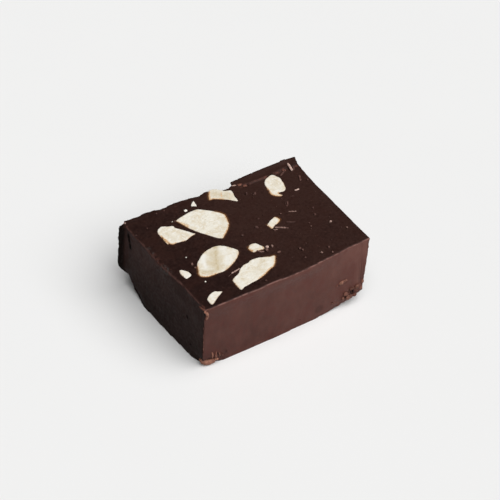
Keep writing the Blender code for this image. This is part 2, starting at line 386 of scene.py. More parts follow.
# %% One skin
SKIN_CELL = 0.31
UP_AND_BACK = (0, 0.65, 0.76)
FOOT_KNOBS = [
    ((50.0, 0.6, 3.7), (1.7, 1.3, 1.9)), ((53.0, 0.9, 5.0), (1.7, 1.4, 2.4)),
    ((47.4, 0.6, 3.2), (1.5, 0.9, 1.3)), ((51.5, 1.2, 3.8), (1.7, 1.4, 1.9)),
    ((54.0, 1.2, 6.6), (1.2, 1.2, 1.6)),
]


def ball(name, at, size):
    """A lump at a place, with its three half widths."""
    bpy.ops.mesh.primitive_ico_sphere_add(subdivisions=3, radius=MM, location=place(*at))
    piece = bpy.context.object
    piece.name = name
    piece.scale = size
    settle()
    return piece


def joined(pieces, name=None):
    """Joins pieces into the first of them, and names it if a name is given."""
    alone(pieces[0])
    for piece in pieces:
        piece.select_set(True)
    bpy.ops.object.join()
    pieces[0].name = name or pieces[0].name
    return pieces[0]


def crest(piece, axis, low, high, lean):
    """One corner for each cell along an edge of the skin: the farthest towards lean."""
    at = spots(piece)
    cells = np.rint(at[:, axis] / SKIN_CELL).astype(int)
    far = at @ np.array(lean, float)
    first, last = math.ceil(low / SKIN_CELL), int(high / SKIN_CELL)
    rows = [np.flatnonzero(cells == cell) for cell in range(first, last + 1)]
    return np.array([row[far[row].argmax()] for row in rows])


block = joined([block, strip, lobe] + [ball("foot_knob", at, size) for at, size in FOOT_KNOBS])
modify(block, "REMESH", mode="VOXEL", voxel_size=SKIN_CELL * MM)
strip_rim = crest(block, 0, STRIP_BACK_RUN[0][0], STRIP_BACK_RUN[-1][0], UP_AND_BACK)
trace(block, strip_rim, 0, STRIP_BACK_RUN, 2.0, closer=(0.0,))
print("one skin with", len(block.data.polygons), "faces")

# %% [markdown]
# ## Relief
#
# Chocolate breaks with a short, crumbly grain and smears where a knife drags over it. A cloud texture
# through a Displace modifier gives such relief. A weight for each corner says how strongly it acts
# there: fully on the broken back, less along the worn left edge of the cut, hardly at all on the
# moulded front.

# %% Displacing by a weight
LEVELS = 24


def ramp(value, start, end):
    """0 up to start, 1 from end on, smooth between."""
    share = np.clip((value - start) / (end - start), 0.0, 1.0)
    return share * share * (3.0 - 2.0 * share)


def displace(piece, weight, depth, lump, detail=2):
    """Moves the surface along its normals, in lumps depth millimetres high and lump wide."""
    group = piece.vertex_groups.new(name="reach")
    steps = np.rint(np.clip(weight, 0, 1) * LEVELS).astype(int)
    for step in range(1, LEVELS + 1):
        group.add(np.flatnonzero(steps == step).tolist(), step / LEVELS, "REPLACE")
    texture = bpy.data.textures.new("lumps", "CLOUDS")
    texture.noise_scale = lump * MM
    texture.noise_depth = detail
    modify(
        piece, "DISPLACE", vertex_group=group.name, strength=depth * MM, texture=texture,
        texture_coords="GLOBAL", mid_level=0.5,
    )
    piece.vertex_groups.clear()


# %% Where the block is broken, worn or smooth
def block_zones(piece):
    """Weights from 0 to 1 for each kind of surface on the block, by place and facing."""
    x, y, z = spots(piece).T
    nx, ny, nz = facings(piece).T
    strip = ramp(x, 34.0, 35.5) * ramp(z, 18.5, 20.0) * ramp(y, 39.0, 40.5)
    zones = {"top": ramp(nz, 0.8, 0.97), "front": ramp(-ny, 0.6, 0.9), "strip": strip}
    zones["back"] = ramp(ny, 0.3, 0.8) * ramp(y, 38.0, 41.0) * (1 - strip) * ramp(-z, -22.4, -20.5)
    zones["back"] *= 1 - ramp(-x, -5.0, -1.0) * np.maximum(ramp(-z, -9.0, -6.0), 0.6)
    zones["back_rim"] = ramp(z, 20.5, 22.0) * ramp(y, 41.5, 43.2) * ramp(-x, -36.0, -34.5)
    zones["lobe"] = ramp(-x, 1.0, 1.8) * ramp(y, 39.6, 40.6) * ramp(z, 3.0, 4.0)
    zones["corner"] = ramp(-x, -9.0, -3.0) * ramp(y, 36.0, 38.0) * ramp(-z, -9.0, -5.0)
    zones["corner"] *= ramp(-nz, -0.2, 0.2)
    zones["crumble"] = ramp(x, 42.0, 45.0) * ramp(-y, -4.0, -2.0) * ramp(-z, -5.5, -2.8) * (nz < 0.5)
    zones["strip_line"] = ramp(x, 35.5, 37.0) * ramp(-np.abs(y - 40.3), -0.6, -0.2) * ramp(z, 21.9, 22.3)
    sharp = 1.0 - np.max(np.abs([nx, ny, nz]), axis=0)
    zones["edge"] = ramp(sharp, 0.08, 0.25)
    zones["front_edge"] = ramp(-y, -1.5, 0.0) * ramp(z, 20.0, 21.5)
    zones["side"] = ramp(-nx, 0.6, 0.9) + ramp(nx, 0.6, 0.9)
    zones["worn_left"] = ramp(-x, -1.2, 0.0) * ramp(z, 20.6, 21.8) * ramp(y, 8.0, 20.0)
    zones["worn_left"] *= ramp(sharp, 0.03, 0.15)
    return zones


zone = block_zones(block)
broken = np.clip(zone["back"] + 0.1 * zone["corner"] + 0.2 * zone["crumble"], 0, 1)
displace(block, broken, 1.4, lump=3.4, detail=3)
zone = block_zones(block)
broken = np.clip(zone["back"] + 0.4 * zone["corner"] + 0.6 * zone["crumble"], 0, 1)
displace(block, broken, 0.6, lump=1.1, detail=2)
displace(block, np.maximum(0.3 * zone["lobe"], 0.9 * zone["back_rim"]), 0.6, lump=2.6, detail=1)
displace(block, np.clip(zone["side"] + 0.4 * zone["front"], 0, 1) * (1 - zone["edge"]), 0.25, lump=8.0)
displace(block, zone["edge"] * (1 - zone["strip"]) * (1 - 0.6 * zone["front_edge"]), 0.14, lump=0.9)
displace(block, zone["worn_left"], 0.5, lump=1.6, detail=2)
displace(block, zone["top"], 0.06, lump=6.0)
print("relief on; broken corners:", int((broken > 0.5).sum()))

# %% [markdown]
# The block stands on a flat foot. Whatever the relief pushed below the floor is pressed flat with a
# resize to nothing along z. No one sees the middle of the foot, so its small faces are dissolved into
# one.

# %% A flat foot
FOOT_PRESSED, ON_FLOOR = 0.16, 0.01
FOOT_MIDDLE = ((2.0, 4.0), (54.0, 37.0))

under = spots(block)[:, 2] < FOOT_PRESSED
pick(block, np.flatnonzero(under))
alone(block)
editing(True)
bpy.ops.transform.resize(value=(1, 1, 0), center_override=(0, 0, 0))
editing(False)
middles = face_middles(block)
hidden = (middles[:, 2] < ON_FLOOR) & (middles[:, :2] > FOOT_MIDDLE[0]).all(1)
hidden &= (middles[:, :2] < FOOT_MIDDLE[1]).all(1)
editing(True)
bpy.ops.mesh.select_all(action="DESELECT")
bpy.ops.mesh.select_mode(type="FACE")
editing(False)
block.data.polygons.foreach_set("select", hidden)
editing(True)
bpy.ops.mesh.dissolve_faces()
bpy.ops.mesh.select_mode(type="VERT")
editing(False)
print("foot flat;", len(block.data.polygons), "faces left")

# %% [markdown]
# ## The almonds
#
# Each almond piece is a blanched kernel cut through by the same knife stroke. What shows is its flat
# outline, and below it bulges like any almond. So each starts as a circle whose rim is set onto the
# outline traced from the photograph. It is extruded down in steps that narrow, which gives the
# rounded underside.

# %% A rounded outline
CURVE_STEPS = 3


def rounded(outline):
    """A smooth closed line through the outline's places (a Catmull-Rom curve)."""
    points = np.array(outline, float)
    before, after, beyond = (np.roll(points, -shift, axis=0) for shift in (-1, 1, 2))
    line = []
    for step in range(CURVE_STEPS):
        t = step / CURVE_STEPS
        line.append(0.5 * (
            2 * points + (after - before) * t
            + (2 * before - 5 * points + 4 * after - beyond) * t**2
            + (3 * points - before - 3 * after + beyond) * t**3
        ))
    line = np.stack(line, axis=1).reshape(-1, 2)
    area = np.sum(line[:, 0] * np.roll(line[:, 1], -1) - line[:, 1] * np.roll(line[:, 0], -1))
    return line if area > 0 else line[::-1]


# %% A kernel below its cut
KERNEL_STEPS, LAST_STEP = 7, 0.6
FULLNESS = 0.8


def extrude(by):
    """Draws what is selected straight up or down, by so many millimetres."""
    bpy.ops.mesh.extrude_region_move(TRANSFORM_OT_translate={"value": (0, 0, by * MM)})


def kernel(name, outline, deep, grow=0.0, rise=0.0):
    """A closed kernel from its outline down to its rounded underside. grow widens it all round."""
    line = rounded(outline)
    along_rim = np.roll(line, -1, axis=0) - np.roll(line, 1, axis=0)
    outward = np.stack([along_rim[:, 1], -along_rim[:, 0]], axis=1)
    line = line + grow * outward / np.linalg.norm(outward, axis=1, keepdims=True)
    middle = line.mean(0)
    bpy.ops.mesh.primitive_circle_add(vertices=len(line), radius=MM, fill_type="NGON")
    piece = bpy.context.object
    piece.name = name
    rim = np.column_stack([line, np.full(len(line), HEIGHT + rise)]) - MIDDLE
    piece.data.vertices.foreach_set("co", (rim * MM).ravel())
    editing(True)
    bpy.ops.mesh.select_all(action="SELECT")
    depth, width = 0.0, 1.0
    if rise:
        extrude(-rise)
    for step in range(1, KERNEL_STEPS + 1):
        turn = 0.5 * math.pi * step / (KERNEL_STEPS + LAST_STEP)
        next_depth, next_width = (deep + grow) * math.sin(turn), math.cos(turn) ** FULLNESS
        share = next_width / width
        extrude(depth - next_depth)
        bpy.ops.transform.resize(
            value=(share, share, 1.0), center_override=place(*middle, HEIGHT - next_depth)
        )
        depth, width = next_depth, next_width
    bpy.ops.mesh.select_all(action="SELECT")
    bpy.ops.mesh.normals_make_consistent(inside=False)
    editing(False)
    return piece


# %% [markdown]
# The outlines are millimetre places read round each piece, and the depth is a guess at how much of
# the kernel is left. tan lists where the skin side shows as a tan rim: the direction from the
# piece's middle, how wide that stretch is, and how strong. marks lists what shows inside the outline,
# each with its strength, width and run: more skin, the tan shade along the cleft between the kernel's
# halves, and the glossy flesh next to it, which is made smoother and also painted whiter: real gloss
# with a painted sheen.

# %% The ten pieces
ALMONDS = {
    "almond_back_wedge": dict(
        deep=5.2, tan=((0, 42, 1.0), (-62, 30, 0.9), (160, 18, 0.8)),
        marks=[
            ("tan", 0.75, 1.5, [(13.2, 35.1), (13.6, 34.1), (14.2, 32.8)]),
            ("cleft", 0.3, 2.4, [(24.8, 30.5), (22.6, 26.6)]),
        ],
        outline=[
            (12.5, 37.0), (15.3, 37.8), (17.6, 38.3), (19.7, 38.4), (20.8, 38.1), (22.2, 36.8),
            (23.5, 35.5), (24.8, 34.2), (25.7, 33.0), (26.1, 31.6), (25.8, 29.9), (25.2, 28.0),
            (24.4, 26.6), (22.6, 24.7), (21.4, 23.8), (20.2, 22.8), (19.3, 23.2), (18.5, 24.0),
            (17.1, 26.2), (15.4, 28.8), (14.0, 31.6), (13.3, 33.9), (12.7, 35.8),
        ],
    ),
    "almond_left_wedge": dict(
        deep=4.2, tan=((205, 45, 1.0), (-60, 40, 0.5)),
        marks=[
            ("tan", 1.0, 0.9, [(5.3, 33.0), (5.3, 30.7), (5.6, 28.9)]),
            ("cleft", 0.4, 2.0, [(7.0, 32.5), (8.0, 29.5)]),
        ],
        outline=[
            (5.2, 35.2), (6.3, 36.4), (7.6, 36.8), (8.9, 36.0), (10.5, 35.2), (10.6, 34.3), (11.3, 33.3),
            (12.3, 31.9), (13.8, 29.5), (14.4, 28.7), (12.9, 28.4), (11.6, 27.9), (10.3, 27.5),
            (8.7, 27.8), (7.4, 28.0), (6.4, 28.0), (5.7, 28.8), (5.5, 30.4), (5.2, 31.9), (5.0, 33.6),
        ],
    ),
    "almond_middle_oval": dict(
        deep=4.8, tan=((210, 45, 0.9), (-40, 50, 0.6), (90, 15, 0.5)),
        marks=[
            ("cleft", 1.0, 2.6, [
                (16.0, 20.4), (15.2, 18.8), (14.2, 17.0), (13.2, 15.0), (12.4, 13.2), (11.8, 11.8),
            ]),
            ("cleft", 0.7, 5.6, [(14.4, 18.6), (13.0, 15.8), (12.0, 13.4)]),
            ("glossy", 1.0, 1.6, [(9.3, 14.4), (9.9, 16.6), (11.4, 18.8)]),
            ("glossy", 0.6, 2.4, [(17.6, 18.6), (17.0, 14.6), (15.4, 12.4)]),
            ("cleft", 0.9, 2.4, [(7.4, 13.2), (8.6, 12.2), (10.8, 11.6)]),
            ("tan", 0.5, 1.2, [(7.2, 12.4), (8.2, 11.4), (9.8, 11.0)]),
            ("tan", 0.45, 1.1, [(8.4, 16.8), (7.2, 14.8)]),
        ],
        outline=[
            (8.0, 17.0), (9.3, 18.2), (10.9, 19.5), (12.6, 20.4), (14.2, 20.8), (16.5, 20.9), (18.4, 19.9),
            (19.8, 18.2), (20.9, 16.4), (21.0, 15.6), (20.6, 14.7), (18.7, 12.9), (15.9, 11.2),
            (13.1, 10.2), (10.9, 10.3), (8.5, 10.4), (7.5, 10.6), (6.4, 11.4), (6.0, 12.2), (6.2, 13.2),
            (6.8, 14.4), (7.2, 15.5),
        ],
    ),
    "almond_front_long": dict(
        deep=3.9, tan=((-35, 75, 0.9), (200, 12, 0.6)),
        marks=[("cleft", 0.3, 2.2, [(24.5, 8.0), (20.0, 5.5)])],
        outline=[
            (12.9, 5.7), (14.3, 6.6), (15.9, 7.3), (16.8, 8.3), (17.6, 8.9), (19.0, 9.6), (20.6, 9.8),
            (21.5, 10.3), (23.5, 10.3), (25.7, 9.6), (27.3, 8.8), (28.4, 8.7), (28.8, 8.2), (28.3, 7.2),
            (27.2, 5.7), (26.0, 4.6), (24.2, 4.0), (22.2, 3.0), (20.3, 2.4), (18.6, 2.0), (17.1, 1.9),
            (15.5, 1.6), (14.3, 1.5), (13.1, 0.9), (12.7, 1.6), (12.7, 4.0),
        ],
    ),
    "almond_right_oval": dict(
        deep=3.6, tan=((215, 50, 1.0), (-10, 40, 0.5)),
        marks=[
            ("tan", 1.0, 1.0, [(43.4, 36.4), (42.9, 34.4), (43.1, 32.4)]),
            ("cleft", 0.3, 1.6, [(47.0, 38.0), (46.4, 34.0)]),
        ],
        outline=[
            (44.0, 38.2), (44.6, 39.1), (45.5, 39.9), (46.5, 40.3), (47.5, 40.7), (48.3, 40.7),
            (48.8, 40.2), (49.0, 39.6), (49.4, 38.6), (49.5, 37.8), (49.3, 36.6), (49.1, 35.4),
            (48.8, 34.3), (48.3, 32.9), (47.6, 32.2), (46.7, 31.9), (46.0, 32.1), (45.3, 32.1),
            (45.1, 31.8), (45.4, 31.1), (45.7, 30.5), (44.9, 30.4), (44.2, 30.8), (43.5, 31.4),
            (43.1, 32.1), (42.9, 32.9), (43.1, 34.1), (43.3, 35.4), (43.6, 36.9),
        ],
    ),
    "almond_back_edge": dict(
        deep=4.4, tan=((185, 60, 0.9),),
        marks=[
            ("tan", 1.0, 1.1, [(27.6, 43.4), (26.6, 41.7), (26.0, 40.4)]),
            ("cleft", 0.7, 5.0, [(28.5, 41.6), (31.6, 38.2)]),
            ("tan", 0.7, 0.7, [(30.6, 41.4), (29.6, 39.4)]),
            ("tan", 0.55, 0.5, [(32.6, 39.6), (31.2, 37.4)]),
        ],
        outline=[
            (28.3, 44.3), (27.2, 43.2), (25.7, 40.2), (26.9, 39.9), (28.4, 38.9), (29.6, 38.0),
            (30.7, 37.1), (31.7, 36.0), (32.5, 35.2), (33.0, 35.5), (33.1, 37.4), (33.4, 38.5),
            (33.7, 39.9), (33.6, 40.7), (32.7, 41.2), (31.9, 41.6), (31.3, 42.3), (30.2, 43.5),
        ],
    ),
    "almond_chip_middle": dict(
        deep=1.9, tan=((170, 50, 0.9), (-90, 50, 0.6)),
        marks=[
            ("tan", 0.8, 0.8, [(24.1, 14.6), (24.5, 13.2)]),
            ("tan", 0.8, 0.7, [(27.9, 13.6), (27.6, 12.5)]),
        ],
        outline=[
            (24.0, 15.3), (25.2, 16.2), (26.1, 16.2), (27.0, 15.9), (27.5, 14.8), (28.1, 13.4),
            (27.9, 12.6), (27.2, 12.4), (26.3, 12.6), (25.1, 12.6), (24.2, 12.8), (23.9, 13.7),
            (23.8, 14.5),
        ],
    ),
    "almond_chip_square": dict(
        deep=1.7, tan=((0, 60, 0.9), (200, 50, 0.6)),
        marks=[
            ("tan", 0.8, 0.8, [(38.6, 22.2), (38.3, 21.1)]),
            ("tan", 0.7, 0.8, [(34.4, 20.4), (34.6, 19.3)]),
        ],
        outline=[
            (34.1, 21.2), (36.5, 22.6), (38.2, 23.1), (38.8, 21.2), (37.2, 20.1), (36.1, 19.8),
            (34.5, 18.9), (34.2, 20.4),
        ],
    ),
    "almond_chip_left": dict(
        deep=1.5, tan=((180, 40, 0.3),), marks=[("glossy", 0.7, 1.4, [(3.0, 16.0), (3.2, 14.0)])],
        outline=[
            (2.3, 17.2), (3.3, 16.7), (4.2, 15.5), (4.3, 14.8), (4.2, 13.6), (3.1, 13.1), (2.2, 13.0),
            (2.0, 13.8), (1.8, 15.5),
        ],
    ),
    "almond_chip_front": dict(
        deep=1.8, tan=((180, 40, 0.2),), marks=[("glossy", 0.7, 1.4, [(4.6, 3.4), (4.2, 1.6)])],
        outline=[
            (2.8, 2.6), (3.9, 3.6), (5.4, 4.3), (6.4, 4.3), (6.9, 3.9), (8.1, 3.2), (7.3, 2.6), (6.1, 1.9),
            (4.6, 0.9), (3.3, 0.0), (2.7, 0.3), (2.7, 1.5),
        ],
    ),
}
FLESH_CELL = 0.17
RIM_WIDE = 0.75
MARK_FADES, MARK_FULL = 0.7, 0.15
SKIN_BELOW = 0.8
STRETCH_ENDS, STRETCH_FULL = 1.25, 0.6


def far_from_line(points, line, closed=True):
    """The distance of each point in the top to the nearest place on a line."""
    line = np.array(line, float)
    start, run = line, np.roll(line, -1, axis=0) - line
    if not closed:
        start, run = start[:-1], run[:-1]
    offset = points[:, None, :] - start[None]
    share = np.clip((offset * run).sum(2) / (run * run).sum(1), 0, 1)
    return np.linalg.norm(offset - share[..., None] * run, axis=2).min(1)


def angle_between(a, b):
    return np.abs((a - b + 180.0) % 360.0 - 180.0)


def everywhere(piece, value=1.0):
    return np.full(len(piece.data.vertices), value)


def add_attribute(piece, name, values):
    layer = piece.data.attributes.new(name, "FLOAT", "POINT")
    layer.data.foreach_set("value", np.clip(values, 0, 1).astype(np.float32))


def skin_side(points, facts):
    """How much of the skin shows in each direction from the piece's middle, 0 to 1."""
    outward = points - rounded(facts["outline"]).mean(0)
    turn = np.degrees(np.arctan2(outward[:, 1], outward[:, 0]))
    stretches = [
        strength * ramp(-angle_between(turn, way), -wide * STRETCH_ENDS, -wide * STRETCH_FULL)
        for way, wide, strength in facts["tan"]
    ]
    return np.max(stretches, axis=0)


almonds = {}
for name, facts in ALMONDS.items():
    piece = kernel("cut_" + name, facts["outline"], facts["deep"])
    modify(piece, "REMESH", mode="VOXEL", voxel_size=FLESH_CELL * MM)
    flat = ramp(facings(piece)[:, 2], 0.5, 0.9)
    displace(piece, 1.0 - 0.4 * flat, 0.16, lump=1.1)
    displace(piece, 1.0 - flat, 0.1, lump=0.5, detail=1)
    displace(piece, flat, 0.05, lump=0.6, detail=1)
    at = spots(piece)
    rim = ramp(-far_from_line(at[:, :2], rounded(facts["outline"])), -RIM_WIDE, 0.0)
    shades = {kind: everywhere(piece, 0.0) for kind in ("tan", "cleft", "glossy")}
    shades["tan"] += rim * skin_side(at[:, :2], facts)
    for kind, strength, width, run in facts["marks"]:
        away = far_from_line(at[:, :2], run, closed=False)
        mark = strength * ramp(-away, -MARK_FADES * width, MARK_FULL * width)
        shades[kind] = np.maximum(shades[kind], mark)
    below = ramp(HEIGHT - at[:, 2], 0.15, 0.5)
    shades["tan"] = np.maximum(shades["tan"], SKIN_BELOW * below)
    shades["rim"] = np.maximum(rim, below)
    for kind, values in shades.items():
        add_attribute(piece, kind, values)
    almonds[name] = piece
print("almonds:", {name: len(piece.data.polygons) for name, piece in almonds.items()})

# %% [markdown]
# The kernels leave pockets in the chocolate. A Boolean with slightly grown kernels cuts them, so the
# outline in the top stays as crisp as the knife left it. The same cut takes out the small dents: two
# bubbles in the left face, holes where crumbs fell out, and the long groove beside the lobe. A dent is
# a ball made uneven, listed with its place, its half widths and how much painted shade darkens the
# chocolate round it. The groove is a strand, which is a curve with a thickness.

# %% Strands
def remeshed(piece, cell):
    modify(piece, "REMESH", mode="VOXEL", voxel_size=cell * MM)
    return piece


def strand(name, route, radii, cell):
    """A tapering strand along a few places."""
    curve = bpy.data.curves.new(name, "CURVE")
    curve.dimensions = "3D"
    curve.bevel_depth = MM
    curve.use_fill_caps = True
    line = curve.splines.new("NURBS")
    line.points.add(len(route) - 1)
    for point, at, radius in zip(line.points, route, radii):
        point.co = (*place(*at), 1.0)
        point.radius = radius
    line.order_u = 3
    line.use_endpoint_u = True
    piece = bpy.data.objects.new(name, curve)
    bpy.context.scene.collection.objects.link(piece)
    alone(piece)
    bpy.ops.object.convert(target="MESH")
    return remeshed(bpy.context.object, cell)


# %% Pockets and dents
POCKET_GAP = 0.05
CUTTER_RISE = 1.5
DENT_CELL = 0.12
# The third number of each dent is how much painted shade darkens the chocolate round it.
DENTS = [
    ((-1.1, 7.7, 13.6), (0.6, 0.9, 0.7), 0.55), ((-1.4, 5.9, 4.5), (0.6, 0.7, 0.5), 0.55),
    ((-1.3, 9.6, 12.4), (0.5, 0.4, 0.4), 0.55), ((-0.45, -0.8, 20.8), (0.5, 0.7, 0.75), 1.0),
    ((50.6, -0.4, 4.9), (0.6, 0.9, 0.8), 1.0), ((4.7, -0.7, 1.9), (0.45, 0.5, 0.35), 1.0),
    ((1.6, -0.2, 1.95), (0.7, 0.6, 0.28), 1.0), ((39.0, -1.45, 3.6), (1.2, 1.3, 1.5), 0.0),
    ((45.6, -0.6, 4.3), (0.5, 0.5, 0.35), 0.0),
]
GROOVE = [
    (-1.1, 41.0, 21.6), (-1.3, 40.5, 20.2), (-1.5, 39.8, 18.9), (-1.7, 39.2, 17.2), (-1.8, 39.0, 16.2),
]
GROOVE_RADII = [0.25, 0.6, 0.65, 0.45, 0.2]

cutters = [
    kernel("pocket", facts["outline"], facts["deep"], POCKET_GAP, CUTTER_RISE) for facts in ALMONDS.values()
]
dents = [remeshed(ball("dent", at, size), DENT_CELL) for at, size, dark in DENTS]
dents.append(strand("groove", GROOVE, GROOVE_RADII, DENT_CELL))
for dent in dents:
    displace(dent, everywhere(dent), 0.35, lump=0.8, detail=1)
cutter = joined(cutters + dents)
modify(block, "BOOLEAN", operation="DIFFERENCE", solver="MANIFOLD", object=cutter)
bpy.data.objects.remove(cutter)
print("block with pockets and dents:", len(block.data.polygons), "faces")

# %% [markdown]
# Where the knife left the block, soft chocolate was dragged along and curled up into a lip under the
# front left corner, a burr at the top of that corner, and knobs at the crumbled foot. They are strands
# and balls with a rough skin, sunk halfway into the block. Each has its own share of pale fracture.

# %% Lips, burrs and knobs
RAISED_CELL = 0.19
LIP = [
    (-0.45, 1.3, 2.5), (-0.1, 0.8, 1.6), (0.7, 0.4, 1.15), (1.8, 0.15, 1.0), (2.9, 0.0, 1.1),
    (3.7, -0.2, 1.6),
]
BURR = [(-0.2, -1.0, 22.2), (0.4, -1.15, 21.7), (0.8, -1.2, 20.6), (0.6, -1.1, 19.6), (0.4, -1.0, 18.8)]
CORNER_CURL = [
    (-0.35, 1.4, 22.4), (-0.3, 0.4, 22.4), (0.0, -0.5, 22.3), (0.7, -1.1, 22.3), (1.8, -1.3, 22.4),
]
STRANDS = [
    (LIP, [0.75, 0.95, 1.0, 0.95, 0.75, 0.35], 0.4),
    (BURR, [0.3, 0.42, 0.42, 0.36, 0.15], 0.5),
    (CORNER_CURL, [0.15, 0.32, 0.34, 0.3, 0.12], 0.1),
    (
        [(36.4, 42.0, 22.7), (37.6, 41.2, 22.7), (39.2, 40.6, 22.7), (40.4, 40.4, 22.7)],
        [0.3, 0.4, 0.35, 0.2], 0.0,
    ),
    ([(38.4, 40.9, 22.7), (39.0, 40.0, 22.7), (38.2, 39.4, 22.7)], [0.3, 0.38, 0.2], 0.05),
    ([(40.5, 40.4, 22.7), (43.5, 40.3, 22.75), (46.8, 40.2, 22.7)], [0.12, 0.2, 0.12], 0.0),
    ([(49.8, 40.5, 22.7), (51.6, 40.9, 22.8), (53.4, 41.2, 22.8)], [0.2, 0.35, 0.3], 0.0),
    ([(2.2, -0.4, 4.9), (2.5, -0.7, 3.9), (2.3, -0.5, 2.6)], [0.15, 0.36, 0.2], 0.35),
    ([(3.7, -0.5, 4.4), (3.1, -0.9, 3.6), (3.3, -0.8, 2.4)], [0.15, 0.34, 0.25], 0.2),
    ([(3.0, -0.7, 2.2), (3.5, -0.95, 1.8), (4.1, -0.8, 1.9)], [0.2, 0.42, 0.2], 0.75),
    ([(4.2, -0.6, 4.2), (4.7, -0.9, 3.3), (4.6, -0.8, 2.3)], [0.12, 0.36, 0.2], 0.15),
    ([(5.1, -0.7, 2.9), (5.5, -0.9, 2.3), (5.9, -0.8, 2.4)], [0.15, 0.3, 0.15], 0.05),
    ([(6.6, -0.8, 3.6), (6.9, -0.9, 3.1), (7.5, -0.8, 2.9)], [0.1, 0.2, 0.1], 0.0),
    (
        [(-0.25, -0.6, 16.5), (-0.35, -0.6, 12.0), (-0.55, -0.5, 7.0), (-0.75, -0.3, 3.4)],
        [0.1, 0.14, 0.14, 0.1], 0.0,
    ),
]
KNOBS = [
    ((46.7, -0.1, 10.0), (0.9, 0.38, 0.75), 0.4), ((47.9, -0.1, 10.3), (0.9, 0.3, 0.5), 0.15),
    ((45.2, -0.12, 9.5), (0.5, 0.22, 0.4), 0.0), ((50.2, -0.3, 6.1), (0.8, 0.45, 0.5), 0.05),
    ((48.2, -0.3, 5.0), (0.8, 0.45, 0.8), 0.1), ((48.9, -0.5, 3.5), (0.9, 0.6, 0.9), 0.2),
    ((47.2, -0.4, 3.7), (0.5, 0.4, 0.6), 0.25), ((52.2, -0.3, 6.1), (0.8, 0.5, 0.8), 0.15),
    ((53.5, -0.1, 5.1), (0.8, 0.5, 0.9), 0.1), ((54.4, 0.1, 7.1), (0.5, 0.45, 0.9), 0.35),
    ((51.4, -0.5, 3.4), (0.7, 0.5, 0.6), 0.0), ((38.3, 40.2, 22.7), (0.7, 0.6, 0.35), 0.1),
    ((37.0, 41.2, 22.8), (0.7, 0.5, 0.4), 0.2), ((39.6, 40.1, 22.7), (0.4, 0.4, 0.3), 0.0),
    ((43.6, -0.3, 3.6), (0.5, 0.25, 0.3), 0.1), ((52.3, 40.2, 22.8), (0.7, 0.5, 0.35), 0.1),
    ((17.5, -0.75, 3.3), (0.45, 0.15, 0.12), 0.2), ((31.8, -0.9, 3.2), (0.3, 0.12, 0.15), 0.0),
]
raised = [(strand("strand", route, radii, RAISED_CELL), pale) for route, radii, pale in STRANDS]
raised += [(remeshed(ball("knob", at, size), RAISED_CELL), pale) for at, size, pale in KNOBS]
for piece, pale in raised:
    displace(piece, everywhere(piece), 0.3, lump=0.9, detail=1)
    add_attribute(piece, "pale", everywhere(piece, pale))
knobs = joined([piece for piece, pale in raised])
print("lips, burrs and knobs:", len(knobs.data.polygons), "faces")

# %% [markdown]
# ## Crumbs, shavings and specks
#
# The knife left crumbs and shavings of chocolate on the cut, mostly on its right half, and a few
# specks of almond. One crumb is modelled, as a small ball made uneven. It is copied, and each copy gets
# its own size and turn. The listed ones lie where the photograph shows them, and the finest fall by
# chance, more of them to the right and none on an almond. A shaving is a strand pressed onto the cut.

# %% Crumbs
CRUMBS = [
    (36.5, 36.5, 0.42, 0.1), (38.8, 35.3, 0.42, 0.25), (38.1, 35.0, 0.3, 0.16), (40.2, 23.2, 0.35, 0.26),
    (30.8, 21.4, 0.5, 0.12), (34.6, 17.5, 0.3, 0.26), (48.6, 17.5, 0.35, 0.25), (49.9, 20.5, 0.3, 0.16),
    (25.5, 20.7, 0.35, 0.1), (44.7, 13.6, 0.32, 0.33), (45.1, 15.2, 0.24, 0.16), (53.2, 7.6, 0.4, 0.35),
    (36.4, 7.0, 0.35, 0.19), (35.6, 2.8, 0.35, 0.21), (40.7, 2.1, 0.4, 0.42), (43.8, 3.1, 0.36, 0.26),
    (43.5, 0.7, 0.4, 0.25), (56.0, 32.7, 0.35, 0.16), (-1.0, 43.6, 0.32, 0.52), (-0.8, 36.9, 0.26, 0.06),
    (-1.0, 26.5, 0.24, 0.06), (-0.9, 23.9, 0.29, 0.06), (-0.5, 20.1, 0.24, 0.06), (6.6, 17.3, 0.35, 0.32),
    (6.7, 15.6, 0.3, 0.33), (11.9, 36.6, 0.3, 0.32), (43.0, 34.2, 0.3, 0.33), (52.2, 39.8, 0.45, 0.21),
    (9.0, 42.4, 0.36, 0.12), (11.6, 42.6, 0.28, 0.19), (20.8, 0.4, 0.3, 0.21), (3.4, 38.0, 0.26, 0.1),
    (33.4, 24.6, 0.3, 0.12), (28.6, 12.4, 0.5, 0.71), (27.9, 11.2, 0.55, 0.3), (30.1, 11.9, 0.45, 0.39),
    (30.4, 8.7, 0.5, 0.3), (50.6, 12.3, 0.42, 0.52), (36.7, 6.0, 0.34, 0.25),
]
FINE_CRUMBS = 60
FINE_SIZE, FINE_PALE = (0.1, 0.2), (0.0, 0.18)
TO_THE_RIGHT = 0.6
FINE_DEPTH = (1.0, 40.0)
CRUMB_RISE = 0.45
chance = np.random.default_rng(7)


def inside(point, line):
    """Whether a place in the top lies within a closed line."""
    (x0, y0), (x1, y1) = line.T, np.roll(line, -1, axis=0).T
    crosses = (y0 > point[1]) != (y1 > point[1])
    at_x = x0 + (point[1] - y0) * (x1 - x0) / np.where(y1 == y0, 1e-9, y1 - y0)
    return np.count_nonzero(crosses & (at_x > point[0])) % 2 == 1


def copied(model, at, size, pale):
    """One more crumb, with its own mesh, size and turn."""
    alone(model)
    bpy.ops.object.duplicate()
    copy = bpy.context.object
    copy.location = place(*at)
    copy.rotation_euler = chance.uniform(0, 2 * math.pi, 3)
    copy.scale = size * chance.uniform(0.7, 1.25, 3)
    settle()
    add_attribute(copy, "pale", everywhere(copy, pale))
    return copy


